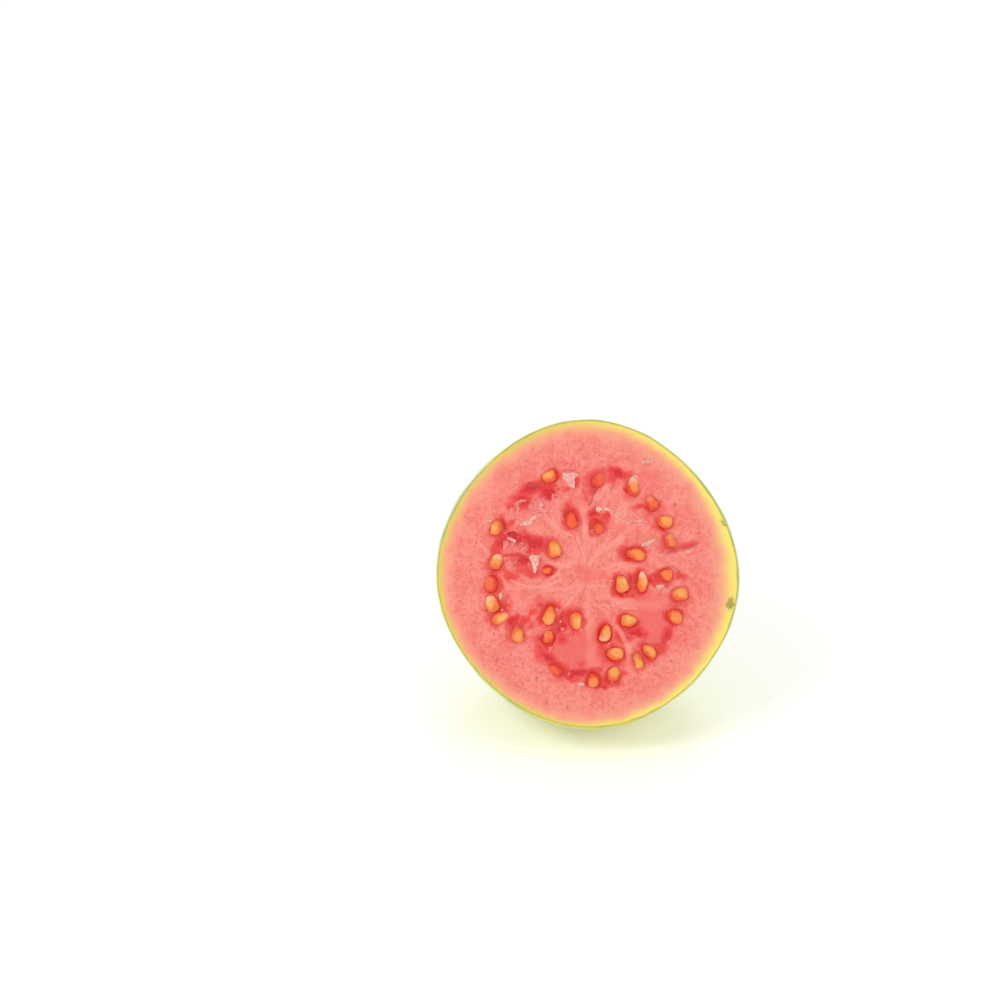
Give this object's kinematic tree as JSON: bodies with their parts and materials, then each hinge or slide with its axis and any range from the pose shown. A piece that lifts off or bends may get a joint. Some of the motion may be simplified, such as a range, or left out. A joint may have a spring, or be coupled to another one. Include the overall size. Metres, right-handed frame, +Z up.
{
  "type": "halved guava",
  "caption": "Guava half cut across its middle and lying on its flank: a thin yellow-green skin round pink flesh set with small pale seeds, and a dried calyx at the blossom end.",
  "frame": {"origin": "middle of the bottom of the bounding box, on the floor the half lies on", "axes": "+Z up, the cut face looks towards -Y and 28 degrees up, +X to the right of someone who looks at the cut face"},
  "size_m": [0.0772, 0.0638, 0.0775],
  "materials": {
    "flesh": "gloss",
    "calyx": "matte",
    "skin": "gloss",
    "seed": "gloss"
  },
  "bodies": {
    "root": {"guava_half": "flesh", "calyx": "calyx"}
  },
  "joints": []
}
